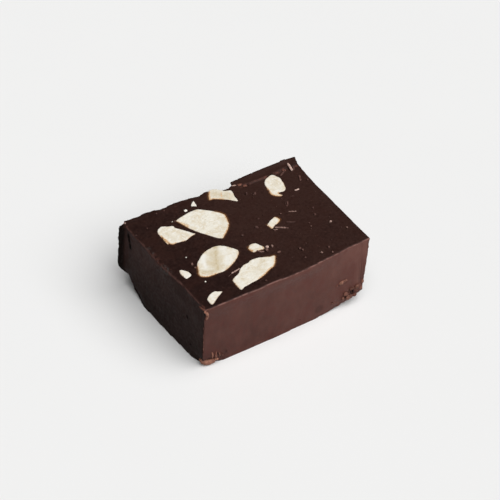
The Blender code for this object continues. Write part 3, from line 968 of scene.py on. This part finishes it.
bpy.ops.mesh.primitive_ico_sphere_add(subdivisions=2, radius=MM)
crumb = bpy.context.object
displace(crumb, everywhere(crumb), 0.9, lump=0.9, detail=1)
outlines = [rounded(facts["outline"]) for facts in ALMONDS.values()]
places = list(CRUMBS)
while len(places) < len(CRUMBS) + FINE_CRUMBS:
    x, y = LENGTH * chance.uniform() ** TO_THE_RIGHT, chance.uniform(*FINE_DEPTH)
    if not any(inside((x, y), line) for line in outlines):
        places.append((x, y, chance.uniform(*FINE_SIZE), chance.uniform(*FINE_PALE)))
crumbs = joined([
    copied(crumb, (x, y, HEIGHT + CRUMB_RISE * size), size, pale) for x, y, size, pale in places
], "crumbs")
bpy.data.objects.remove(crumb)
print("crumbs:", len(places), "with", len(crumbs.data.polygons), "faces")

# %% Shavings
SHAVINGS = [
    ([(35.3, 18.7), (36.8, 17.9), (38.6, 16.4)], 0.42, 0.4), ([(34.5, 18.0), (35.6, 17.6)], 0.36, 0.55),
    ([(42.8, 22.9), (43.8, 22.2), (44.8, 21.8)], 0.28, 0.42),
    ([(39.5, 19.0), (40.6, 18.6), (41.8, 17.7)], 0.38, 0.12),
    ([(45.0, 27.1), (44.7, 25.9), (43.6, 25.2)], 0.4, 0.22), ([(44.6, 27.4), (43.7, 26.1)], 0.3, 0.04),
    ([(55.0, 35.9), (54.7, 34.8), (53.8, 33.3)], 0.45, 0.25),
    ([(14.0, 8.1), (15.4, 8.3), (17.1, 8.7)], 0.36, 0.62), ([(12.7, 7.4), (13.9, 7.9)], 0.26, 0.15),
    ([(25.3, 12.6), (25.8, 11.6), (26.9, 11.3)], 0.5, 0.3),
    ([(34.8, 42.2), (36.0, 41.9), (37.1, 41.2)], 0.32, 0.62),
    ([(50.0, 38.7), (51.0, 39.1), (52.1, 39.9)], 0.48, 0.22),
    ([(55.9, 40.6), (55.7, 39.8), (55.2, 39.1)], 0.42, 0.22), ([(19.2, 1.2), (20.6, 1.6)], 0.2, 0.1),
    ([(47.2, 28.6), (48.4, 28.3)], 0.2, 0.15), ([(49.8, 30.4), (50.6, 30.3), (51.3, 30.2)], 0.34, 1.0),
]
STRIP_SHAVING = [(54.7, 41.9, 23.55), (54.6, 40.9, 23.4), (54.5, 40.0, 23.15), (54.5, 38.8, 22.8)]
STRIP_SHAVING_RADII = [0.25, 0.48, 0.42, 0.4]
SHAVING_CELL = 0.1
SHAVING_END, SHAVING_RISE, SHAVING_FLAT = 0.5, 0.6, 0.6
shaved = []
for route, radius, pale in SHAVINGS:
    radii = [radius * share for share in (SHAVING_END, *[1.0] * (len(route) - 2), SHAVING_END)]
    spine = [(x, y, HEIGHT + SHAVING_RISE * radius) for x, y in route]
    piece = strand("shaving", spine, radii, SHAVING_CELL)
    bpy.ops.transform.resize(value=(1, 1, SHAVING_FLAT), center_override=place(*MIDDLE[:2], HEIGHT))
    settle()
    displace(piece, everywhere(piece), 0.25, lump=0.7, detail=1)
    shaved.append((piece, pale))
shaved.append((strand("shaving", STRIP_SHAVING, STRIP_SHAVING_RADII, SHAVING_CELL), 0.75))
for piece, pale in shaved:
    add_attribute(piece, "pale", everywhere(piece, pale))
shavings = joined([piece for piece, pale in shaved], "shavings")
print("shavings:", len(shaved), "with", len(shavings.data.polygons), "faces")

# %% [markdown]
# The almond specks are a flat chip, four flattened balls and a sliver of brown skin that lies along
# the left wedge.

# %% Almond specks
SPECK_CHIP = [(21.4, 42.0), (20.4, 41.3), (19.6, 40.3), (20.3, 39.8), (21.0, 39.4), (21.2, 40.6)]
SPECKS = [
    (17.1, 39.3, 0.58, 0.48), (6.7, 20.9, 0.27, 0.22), (6.1, 9.0, 0.26, 0.24), (11.2, 36.9, 0.24, 0.15),
]
SKIN_SLIVER = [(5.5, 32.4, 22.55), (5.2, 31.2, 22.65), (5.2, 29.9, 22.65), (5.2, 28.7, 22.6)]
SLIVER_RADII = [0.15, 0.3, 0.34, 0.2]
CHIP_DEEP, CHIP_RISE, CHIP_CELL = 0.5, 0.14, 0.1
SPECK_RISE, SPECK_FLAT, SPECK_CELL = 0.06, 0.6, 0.09
SPECK_TAN, SLIVER_TAN = 0.15, 0.75

chip = kernel("speck", SPECK_CHIP, CHIP_DEEP)
pull(chip, np.arange(len(chip.data.vertices)), (0, 0, CHIP_RISE))
specked = [remeshed(chip, CHIP_CELL)]
for x, y, long, wide in SPECKS:
    speck = ball("speck", (x, y, HEIGHT + SPECK_RISE), (long, wide, SPECK_FLAT * wide))
    specked.append(remeshed(speck, SPECK_CELL))
sliver = strand("skin_sliver", SKIN_SLIVER, SLIVER_RADII, SPECK_CELL)
specked.append(sliver)
for piece in specked:
    displace(piece, everywhere(piece), 0.16, lump=0.5, detail=1)
    tan = SLIVER_TAN if piece is sliver else SPECK_TAN
    for kind, value in (("tan", tan), ("cleft", 0.0), ("glossy", 0.5 - 0.5 * tan), ("rim", 0.0)):
        add_attribute(piece, kind, everywhere(piece, value))
specks = joined(specked, "almond_specks")
print("almond specks:", len(specked), "with", len(specks.data.polygons), "faces")

# %% [markdown]
# ## Finishes
#
# The finishes are node trees on one Principled shader each. Patterns read the Object coordinates, in
# metres, so a noise scale of 1000 makes lumps of about a millimetre.

# %% Nodes
NOISE_ROUGHNESS = 0.55


class Finish:
    """A material and short ways to add nodes to it."""

    def __init__(self, name):
        self.material = bpy.data.materials.new(name)
        self.material.use_nodes = True
        self.tree = self.material.node_tree
        self.shader = self.tree.nodes["Principled BSDF"]
        self.coordinates = self.node("ShaderNodeTexCoord").outputs["Object"]

    def node(self, kind, **settings):
        made = self.tree.nodes.new(kind)
        for name, value in settings.items():
            setattr(made, name, value)
        return made

    def feed(self, socket, value):
        if isinstance(value, bpy.types.NodeSocket):
            self.tree.links.new(value, socket)
        else:
            socket.default_value = value

    def attribute(self, name):
        return self.node("ShaderNodeAttribute", attribute_name=name).outputs["Fac"]

    def noise(self, lump, detail=3.0, stretch=(1, 1, 1)):
        """A noise whose lumps are about so many millimetres wide."""
        mapping = self.node("ShaderNodeMapping")
        self.feed(mapping.inputs["Vector"], self.coordinates)
        mapping.inputs["Scale"].default_value = stretch
        made = self.node("ShaderNodeTexNoise")
        self.feed(made.inputs["Vector"], mapping.outputs["Vector"])
        made.inputs["Scale"].default_value = 1.0 / (lump * MM)
        made.inputs["Detail"].default_value = detail
        made.inputs["Roughness"].default_value = NOISE_ROUGHNESS
        return made.outputs["Fac"]

    def between(self, value, start, end, low=0.0, high=1.0):
        made = self.node("ShaderNodeMapRange", interpolation_type="SMOOTHSTEP")
        self.feed(made.inputs["Value"], value)
        for name, given in (("From Min", start), ("From Max", end), ("To Min", low), ("To Max", high)):
            self.feed(made.inputs[name], given)
        return made.outputs["Result"]

    def sum(self, a, b, operation="ADD"):
        made = self.node("ShaderNodeMath", operation=operation)
        self.feed(made.inputs[0], a)
        self.feed(made.inputs[1], b)
        return made.outputs[0]

    def times(self, a, b):
        return self.sum(a, b, "MULTIPLY")

    def centred(self, noise):
        return self.sum(noise, 0.5, "SUBTRACT")

    def blend(self, share, a, b, kind="RGBA"):
        made = self.node("ShaderNodeMix", data_type=kind)
        slots = {"RGBA": (6, 7, 2), "FLOAT": (2, 3, 0)}[kind]
        self.feed(made.inputs[0], share)
        for slot, value in zip(slots, (a, b)):
            self.feed(made.inputs[slot], (*value, 1.0) if isinstance(value, tuple) else value)
        return made.outputs[slots[2]]

    def bump(self, height, depth, after=None):
        made = self.node("ShaderNodeBump")
        self.feed(made.inputs["Height"], height)
        made.inputs["Strength"].default_value = 1.0
        made.inputs["Distance"].default_value = depth * MM
        if after is not None:
            self.feed(made.inputs["Normal"], after)
        return made.outputs["Normal"]

    def finish(self, colour, roughness, normal, specular):
        self.feed(self.shader.inputs["Base Color"], colour)
        self.feed(self.shader.inputs["Roughness"], roughness)
        self.feed(self.shader.inputs["Normal"], normal)
        self.shader.inputs["Specular IOR Level"].default_value = specular
        return self.material


# %% [markdown]
# Dark chocolate looks almost black where it is freshly cut, because no light comes back out of it. On
# the moulded front a breath of cocoa butter bloom makes it browner and paler. Where it is torn or
# crumbled it is full of tiny facets and turns reddish brown. Attributes on the mesh say what is where:
# tone is the slow change over each face, painted sheen and shade on the top and the left side, torn is
# the broken places, line is the sharp edges that catch the light, a painted highlight, worn is the
# rubbed left edge, dark is painted shade in the dents, the groove and on the lobe's back, stain is the
# brown shade round an almond's skin side, and scored is the fine upright lines at the front's right
# end. Noise breaks up their borders.

# %% Where each finish lies
def tones_with_painted_sheen(piece):
    """The slow change of tone, 0 dark to 1 light: painted sheen and shade, lighter towards the back
    right of the top, the top and back of the left side, and the right and top of the front.
    """
    x, y, z = spots(piece).T
    nx, ny, nz = facings(piece).T
    top = 0.75 * ramp(x, 4.0, 34.0) + 0.25 * ramp(y, 4.0, 30.0)
    front = 0.22 + 0.5 * x / LENGTH + 0.32 * (z / HEIGHT - 0.5)
    front += 0.25 * ramp(x, 40.0, 56.0) * ramp(z, 12.0, 20.0)
    left = 0.25 + 0.75 * ramp(z, 2.0, 21.0) * (0.45 + 0.55 * ramp(y, 10.0, 36.0))
    weights = np.array([np.clip(nz, 0, 1), np.clip(-ny, 0, 1), np.clip(-nx, 0, 1)]) ** 4 + 1e-6
    return (weights * [top, front, left]).sum(0) / weights.sum(0)


def near(piece, at, reach):
    """1 at a place, falling to 0 at its reach in millimetres."""
    return ramp(-np.linalg.norm(spots(piece) - np.array(at), axis=1), -reach, -0.6 * reach)


TORN_SPOTS = [((-0.2, 0.4, 22.4), 1.3, 0.6), ((3.6, -0.5, 3.2), 1.8, 0.55), ((50.5, -0.4, 4.5), 3.0, 0.65)]
DENT_SHADE, GROOVE_SHADE = 1.15, 1.1
FRONT_DENT, FRONT_DENT_SHADE, FRONT_DENT_PAINTED_SHADE = (39.0, -0.6, 3.4), 1.9, 0.25
ABOVE, BELOW = 0.4, 0.6

zone = block_zones(block)
x, y, z = spots(block).T
nx, ny, nz = facings(block).T
front_line = ramp(-ny, 0.25, 0.55) * ramp(nz, 0.25, 0.55) * ramp(-y, -2.0, -1.0)
left_line = ramp(-nx, 0.15, 0.4) * ramp(nz, 0.15, 0.4) * ramp(-x, -0.8, 0.0) * ramp(z, 21.0, 22.0)
corner_line = ramp(-nx, 0.25, 0.5) * ramp(-ny, 0.25, 0.5) * ramp(-x, -1.5, 0.0) * ramp(-z, -12.0, -4.0)
rim_line = zone["back_rim"] * ramp(ny, 0.1, 0.4) * ramp(nz, 0.2, 0.5)
torn = np.max([
    0.42 * zone["back"], 0.4 * zone["crumble"], 0.38 * zone["strip_line"], 0.6 * rim_line,
    0.35 * left_line * ramp(y, 20.0, 30.0), 0.3 * corner_line, 0.35 * zone["worn_left"],
    *[share * near(block, at, reach) for at, reach, share in TORN_SPOTS],
], axis=0)
# Painted shade: darker round the dents, along the groove, round the big front dent and on the lobe's back,
# which faces away from the light.
painted_hollow_shades = [dark * near(block, at, DENT_SHADE * max(size)) for at, size, dark in DENTS]
painted_hollow_shades += [near(block, at, GROOVE_SHADE) for at in GROOVE[1:4]]
painted_hollow_shades.append(FRONT_DENT_PAINTED_SHADE * near(block, FRONT_DENT, FRONT_DENT_SHADE))
painted_hollow_shades.append(0.95 * zone["lobe"] * ramp(y, 41.9, 43.0))
stain = everywhere(block, 0.0)
close_up = np.flatnonzero((z > HEIGHT - BELOW) & (z < HEIGHT + ABOVE))
flat = np.column_stack([x, y])[close_up]
for facts in ALMONDS.values():
    ring = ramp(-far_from_line(flat, rounded(facts["outline"])), -0.9, -0.1)
    stain[close_up] = np.maximum(stain[close_up], ring * (0.25 + 0.75 * skin_side(flat, facts)))
shares = {
    "torn": torn,
    "worn": 0.85 * ramp(-x, -0.6, 0.5) * ramp(z, 20.6, 21.8) * ramp(y, 15.0, 20.0) * ramp(-y, -32.0, -28.0),
    "line": np.maximum(front_line, 0.33 * left_line),
    "dark": np.max(painted_hollow_shades, axis=0),
    "tone_and_sheen": tones_with_painted_sheen(block),
    "stain": stain,
    "scored": ramp(x, 50.5, 53.0) * zone["front"],
}
for name, share in shares.items():
    add_attribute(block, name, share)
add_attribute(knobs, "torn", everywhere(knobs, 0.8))
add_attribute(knobs, "tone_and_sheen", tones_with_painted_sheen(knobs))
block = joined([block, knobs])
print("torn share of the block's corners:", round(float((torn > 0.4).mean()), 3))

# %% [markdown]
# One recipe makes three kinds of chocolate. The knife's cut, and whatever isn't listed, has the first.
# The sides list says which faces have the second and the third: the front along y and the left side
# along x, each with how much a face must turn that way and how far in it may lie. The third is a copy
# of the cut chocolate for the left side, which lies in shade: painted shade, duller and with its own
# tones.

# %% Chocolate
CHOCOLATES = {
    "knife_cut_chocolate": dict(
        dark=(0.015, 0.006, 0.0048), light=(0.033, 0.0145, 0.011), red=(0.029, 0.011, 0.008),
        specular=0.1, mottle=1.4, patch=0.9, relief=0.09, streak=1.0,
    ),
    "moulded_chocolate": dict(
        dark=(0.052, 0.017, 0.013), light=(0.135, 0.057, 0.045), red=(0.092, 0.027, 0.021),
        specular=0.12, mottle=0.45, patch=0.45, relief=0.03, streak=0.5,
    ),
    # A duller copy of the cut chocolate with its own tones, for the left side in shade: painted shade.
    "shaded_side_chocolate": dict(
        dark=(0.01, 0.005, 0.004), light=(0.04, 0.019, 0.016), red=(0.022, 0.01, 0.009),
        specular=0.03, mottle=0.12, patch=0.35, relief=0.012, streak=1.0,
    ),
}
TORN_DARK, TORN_LIGHT, TORN_PALE = (0.036, 0.013, 0.01), (0.145, 0.057, 0.042), (0.44, 0.21, 0.14)
LINE_PALE = (0.19, 0.095, 0.08)
# The colour of the painted shade in the hollows and on the lobe's back.
HOLLOW_SHADE = (0.0045, 0.0022, 0.0016)
RUBBED_GREY, RUBBED_RED = (0.052, 0.044, 0.041), (0.056, 0.022, 0.017)
SKIN_STAIN = (0.15, 0.06, 0.02)
FRONT_AND_SHADED_SIDE = ((1, 1, -0.7, 3.0), (2, 0, -0.6, 1.0))


def coat(piece, *finishes):
    """Gives a piece its finishes and no others."""
    piece.data.materials.clear()
    for finish in finishes:
        piece.data.materials.append(finish)


def chocolate_finish(name, dark, light, red, specular, mottle, patch, relief, streak):
    """Chocolate between a dark and a light tone, with torn places, worn lines and dark hollows."""
    make = Finish(name)
    soft, fine, grain = make.noise(7.0), make.noise(0.9, 2.0), make.noise(0.4)
    patches = make.noise(2.0, 3.0, stretch=(1.0, 1.0, streak))
    scores = make.centred(make.noise(0.55, 1.0, stretch=(1.0, 1.0, 0.03)))
    scores = make.times(scores, make.attribute("scored"))
    # The tone attribute is painted sheen and shade; the noises and scored lines add real uneven tone.
    tone_and_sheen = make.attribute("tone_and_sheen")
    for noise, share in ((soft, 0.5), (patches, patch), (fine, mottle)):
        tone_and_sheen = make.sum(tone_and_sheen, make.times(make.centred(noise), share))
    tone_and_sheen = make.sum(tone_and_sheen, make.times(scores, 2.5))
    colour = make.blend(tone_and_sheen, dark, light)
    reddish = make.between(make.noise(4.5, 2.0, stretch=(1.0, 1.0, streak)), 0.42, 0.68, 0.0, 0.5)
    colour = make.blend(reddish, colour, red)
    flecks = make.between(make.noise(0.7, 1.0), 0.66, 0.78, 0.0, 0.16)
    colour = make.blend(flecks, colour, TORN_LIGHT)
    uneven = make.between(make.noise(1.8, 2.0), 0.35, 0.62, 0.3, 1.1)
    colour = make.blend(make.times(make.attribute("line"), uneven), colour, LINE_PALE)
    stained = make.between(make.sum(make.attribute("stain"), grain), 0.95, 1.5, 0.0, 0.6)
    colour = make.blend(stained, colour, SKIN_STAIN)
    rubbed = make.times(make.attribute("worn"), make.between(make.noise(1.3, 2.0), 0.46, 0.6))
    colour = make.blend(rubbed, colour, make.blend(make.between(soft, 0.45, 0.55), RUBBED_GREY, RUBBED_RED))
    torn_colour = make.blend(make.between(make.noise(1.1), 0.35, 0.65), TORN_DARK, TORN_LIGHT)
    lighter = make.times(make.attribute("pale"), make.between(make.noise(0.8), 0.3, 0.6, 0.4, 1.2))
    torn_colour = make.blend(lighter, torn_colour, TORN_PALE)
    torn_share = make.between(make.sum(make.attribute("torn"), make.times(fine, 0.7)), 0.55, 1.05)
    colour = make.blend(torn_share, colour, torn_colour)
    # Painted shade in the hollows and on the lobe's back.
    colour = make.blend(make.attribute("dark"), colour, HOLLOW_SHADE)
    roughness = make.between(fine, 0.3, 0.7, 0.45, 0.65)
    normal = make.bump(grain, 0.5 * relief)
    normal = make.bump(fine, relief, normal)
    return make.finish(colour, roughness, normal, specular)


coat(block, *[chocolate_finish(name, **look) for name, look in CHOCOLATES.items()])
face_ways, face_at = np.array([face.normal for face in block.data.polygons]), face_middles(block)
kinds = np.zeros(len(face_ways), int)
for kind, axis, steepest, farthest in FRONT_AND_SHADED_SIDE:
    kinds[(face_ways[:, axis] < steepest) & (face_at[:, axis] < farthest)] = kind
block.data.polygons.foreach_set("material_index", kinds)
print("faces by finish:", np.bincount(kinds))

# %% [markdown]
# Blanched almond flesh is a warm white, not yellow, with a faint grain and a few grey specks. Towards
# the skin side it turns tan.

# %% Almond flesh
FLESH_PALE, FLESH_WARM, FLESH_WHITE = (0.79, 0.75, 0.65), (0.69, 0.61, 0.47), (0.84, 0.82, 0.76)
CLEFT_SHADE = (0.55, 0.45, 0.28)
RIM_TAN, RIM_DEEP = (0.72, 0.5, 0.29), (0.46, 0.23, 0.08)
SMEAR = (0.34, 0.18, 0.1)
FLESH_SPECK = (0.52, 0.46, 0.34)


def almond_finish():
    make = Finish("cut_almond")
    patches, grain, fine = make.noise(2.0), make.noise(0.55), make.noise(0.9, 2.0)
    flesh = make.blend(make.between(patches, 0.38, 0.68), FLESH_PALE, FLESH_WARM)
    flesh = make.blend(make.between(fine, 0.48, 0.7, 0.0, 0.8), flesh, FLESH_WHITE)
    flesh = make.blend(make.between(grain, 0.58, 0.75, 0.0, 0.5), flesh, FLESH_SPECK)
    cleft = make.times(make.attribute("cleft"), make.between(fine, 0.3, 0.6, 0.55, 1.1))
    flesh = make.blend(cleft, flesh, CLEFT_SHADE)
    # The glossy marks are painted whiter as well as made smoother below: painted sheen on real gloss.
    flesh = make.blend(make.attribute("glossy"), flesh, FLESH_WHITE)
    tan_colour = make.blend(make.between(grain, 0.4, 0.65), RIM_TAN, RIM_DEEP)
    share = make.between(make.sum(make.attribute("tan"), make.times(fine, 0.9)), 0.55, 1.3)
    colour = make.blend(share, flesh, tan_colour)
    along_rim = make.sum(make.attribute("rim"), make.blend(0.5, grain, patches, "FLOAT"))
    colour = make.blend(make.between(along_rim, 1.2, 1.6, 0.0, 0.6), colour, SMEAR)
    dull = make.between(patches, 0.3, 0.7, 0.5, 0.7)
    rough = make.sum(dull, make.times(make.attribute("glossy"), 0.25), "SUBTRACT")
    return make.finish(colour, rough, make.bump(grain, 0.06), 0.35)


flesh = almond_finish()
for piece in [*almonds.values(), specks]:
    coat(piece, flesh)
print("finish", flesh.name)

# %% [markdown]
# A crumb or a shaving is torn on all sides, so light catches in it and it looks much paler than the
# block. How pale differs from one to the next.

# %% Torn chocolate
CRUMB_DARK, CRUMB_RED, CRUMB_PALE = (0.04, 0.018, 0.015), (0.155, 0.076, 0.061), (0.64, 0.46, 0.39)

make = Finish("crumb_chocolate")
pale = make.times(make.attribute("pale"), make.between(make.noise(0.5), 0.3, 0.7, 0.6, 1.3))
colour = make.blend(make.times(pale, 2.0), CRUMB_DARK, CRUMB_RED)
colour = make.blend(make.between(pale, 0.2, 1.0), colour, CRUMB_PALE)
rough = make.between(make.noise(0.7), 0.3, 0.7, 0.45, 0.7)
make.finish(colour, rough, make.bump(make.noise(0.3), 0.04), 0.15)
for piece in (crumbs, shavings):
    coat(piece, make.material)
print("finish", make.material.name)

# %% [markdown]
# ## Floor
#
# A plain pale sheet, so wide that no view shows its end.

# %% Floor
FLOOR_WIDE = 30.0
FLOOR_PALE, FLOOR_MOTTLE = (0.8, 0.8, 0.795), 0.995

bpy.ops.mesh.primitive_plane_add(size=FLOOR_WIDE, location=(0, 0, 0))
floor = bpy.context.object
floor.name = "floor"
paper = Finish("floor_paper")
darker = tuple(c * FLOOR_MOTTLE for c in FLOOR_PALE)
tint = paper.blend(paper.between(paper.noise(60.0), 0.3, 0.7), FLOOR_PALE, darker)
coat(floor, paper.finish(tint, 0.9, paper.bump(paper.noise(2.0), 0.002), 0.1))
print("floor laid")

# %% [markdown]
# ## Hand over
#
# Each finished piece stands for its solid and rides on the one body.

# %% Tie the pieces to the solids
SOFT_BELOW = math.radians(45)
pieces = [(block, "chocolate_block", CHOCOLATE_SLOT), (crumbs, None, CHOCOLATE_SLOT)]
pieces += [(shavings, None, CHOCOLATE_SLOT), (specks, None, ALMOND_SLOT)]
pieces += [(piece, name, ALMOND_SLOT) for name, piece in almonds.items()]
for piece, node, slot in pieces:
    alone(piece)
    bpy.ops.object.shade_smooth_by_angle(angle=SOFT_BELOW)
    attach(piece, BODY)
    if node:
        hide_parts(node)
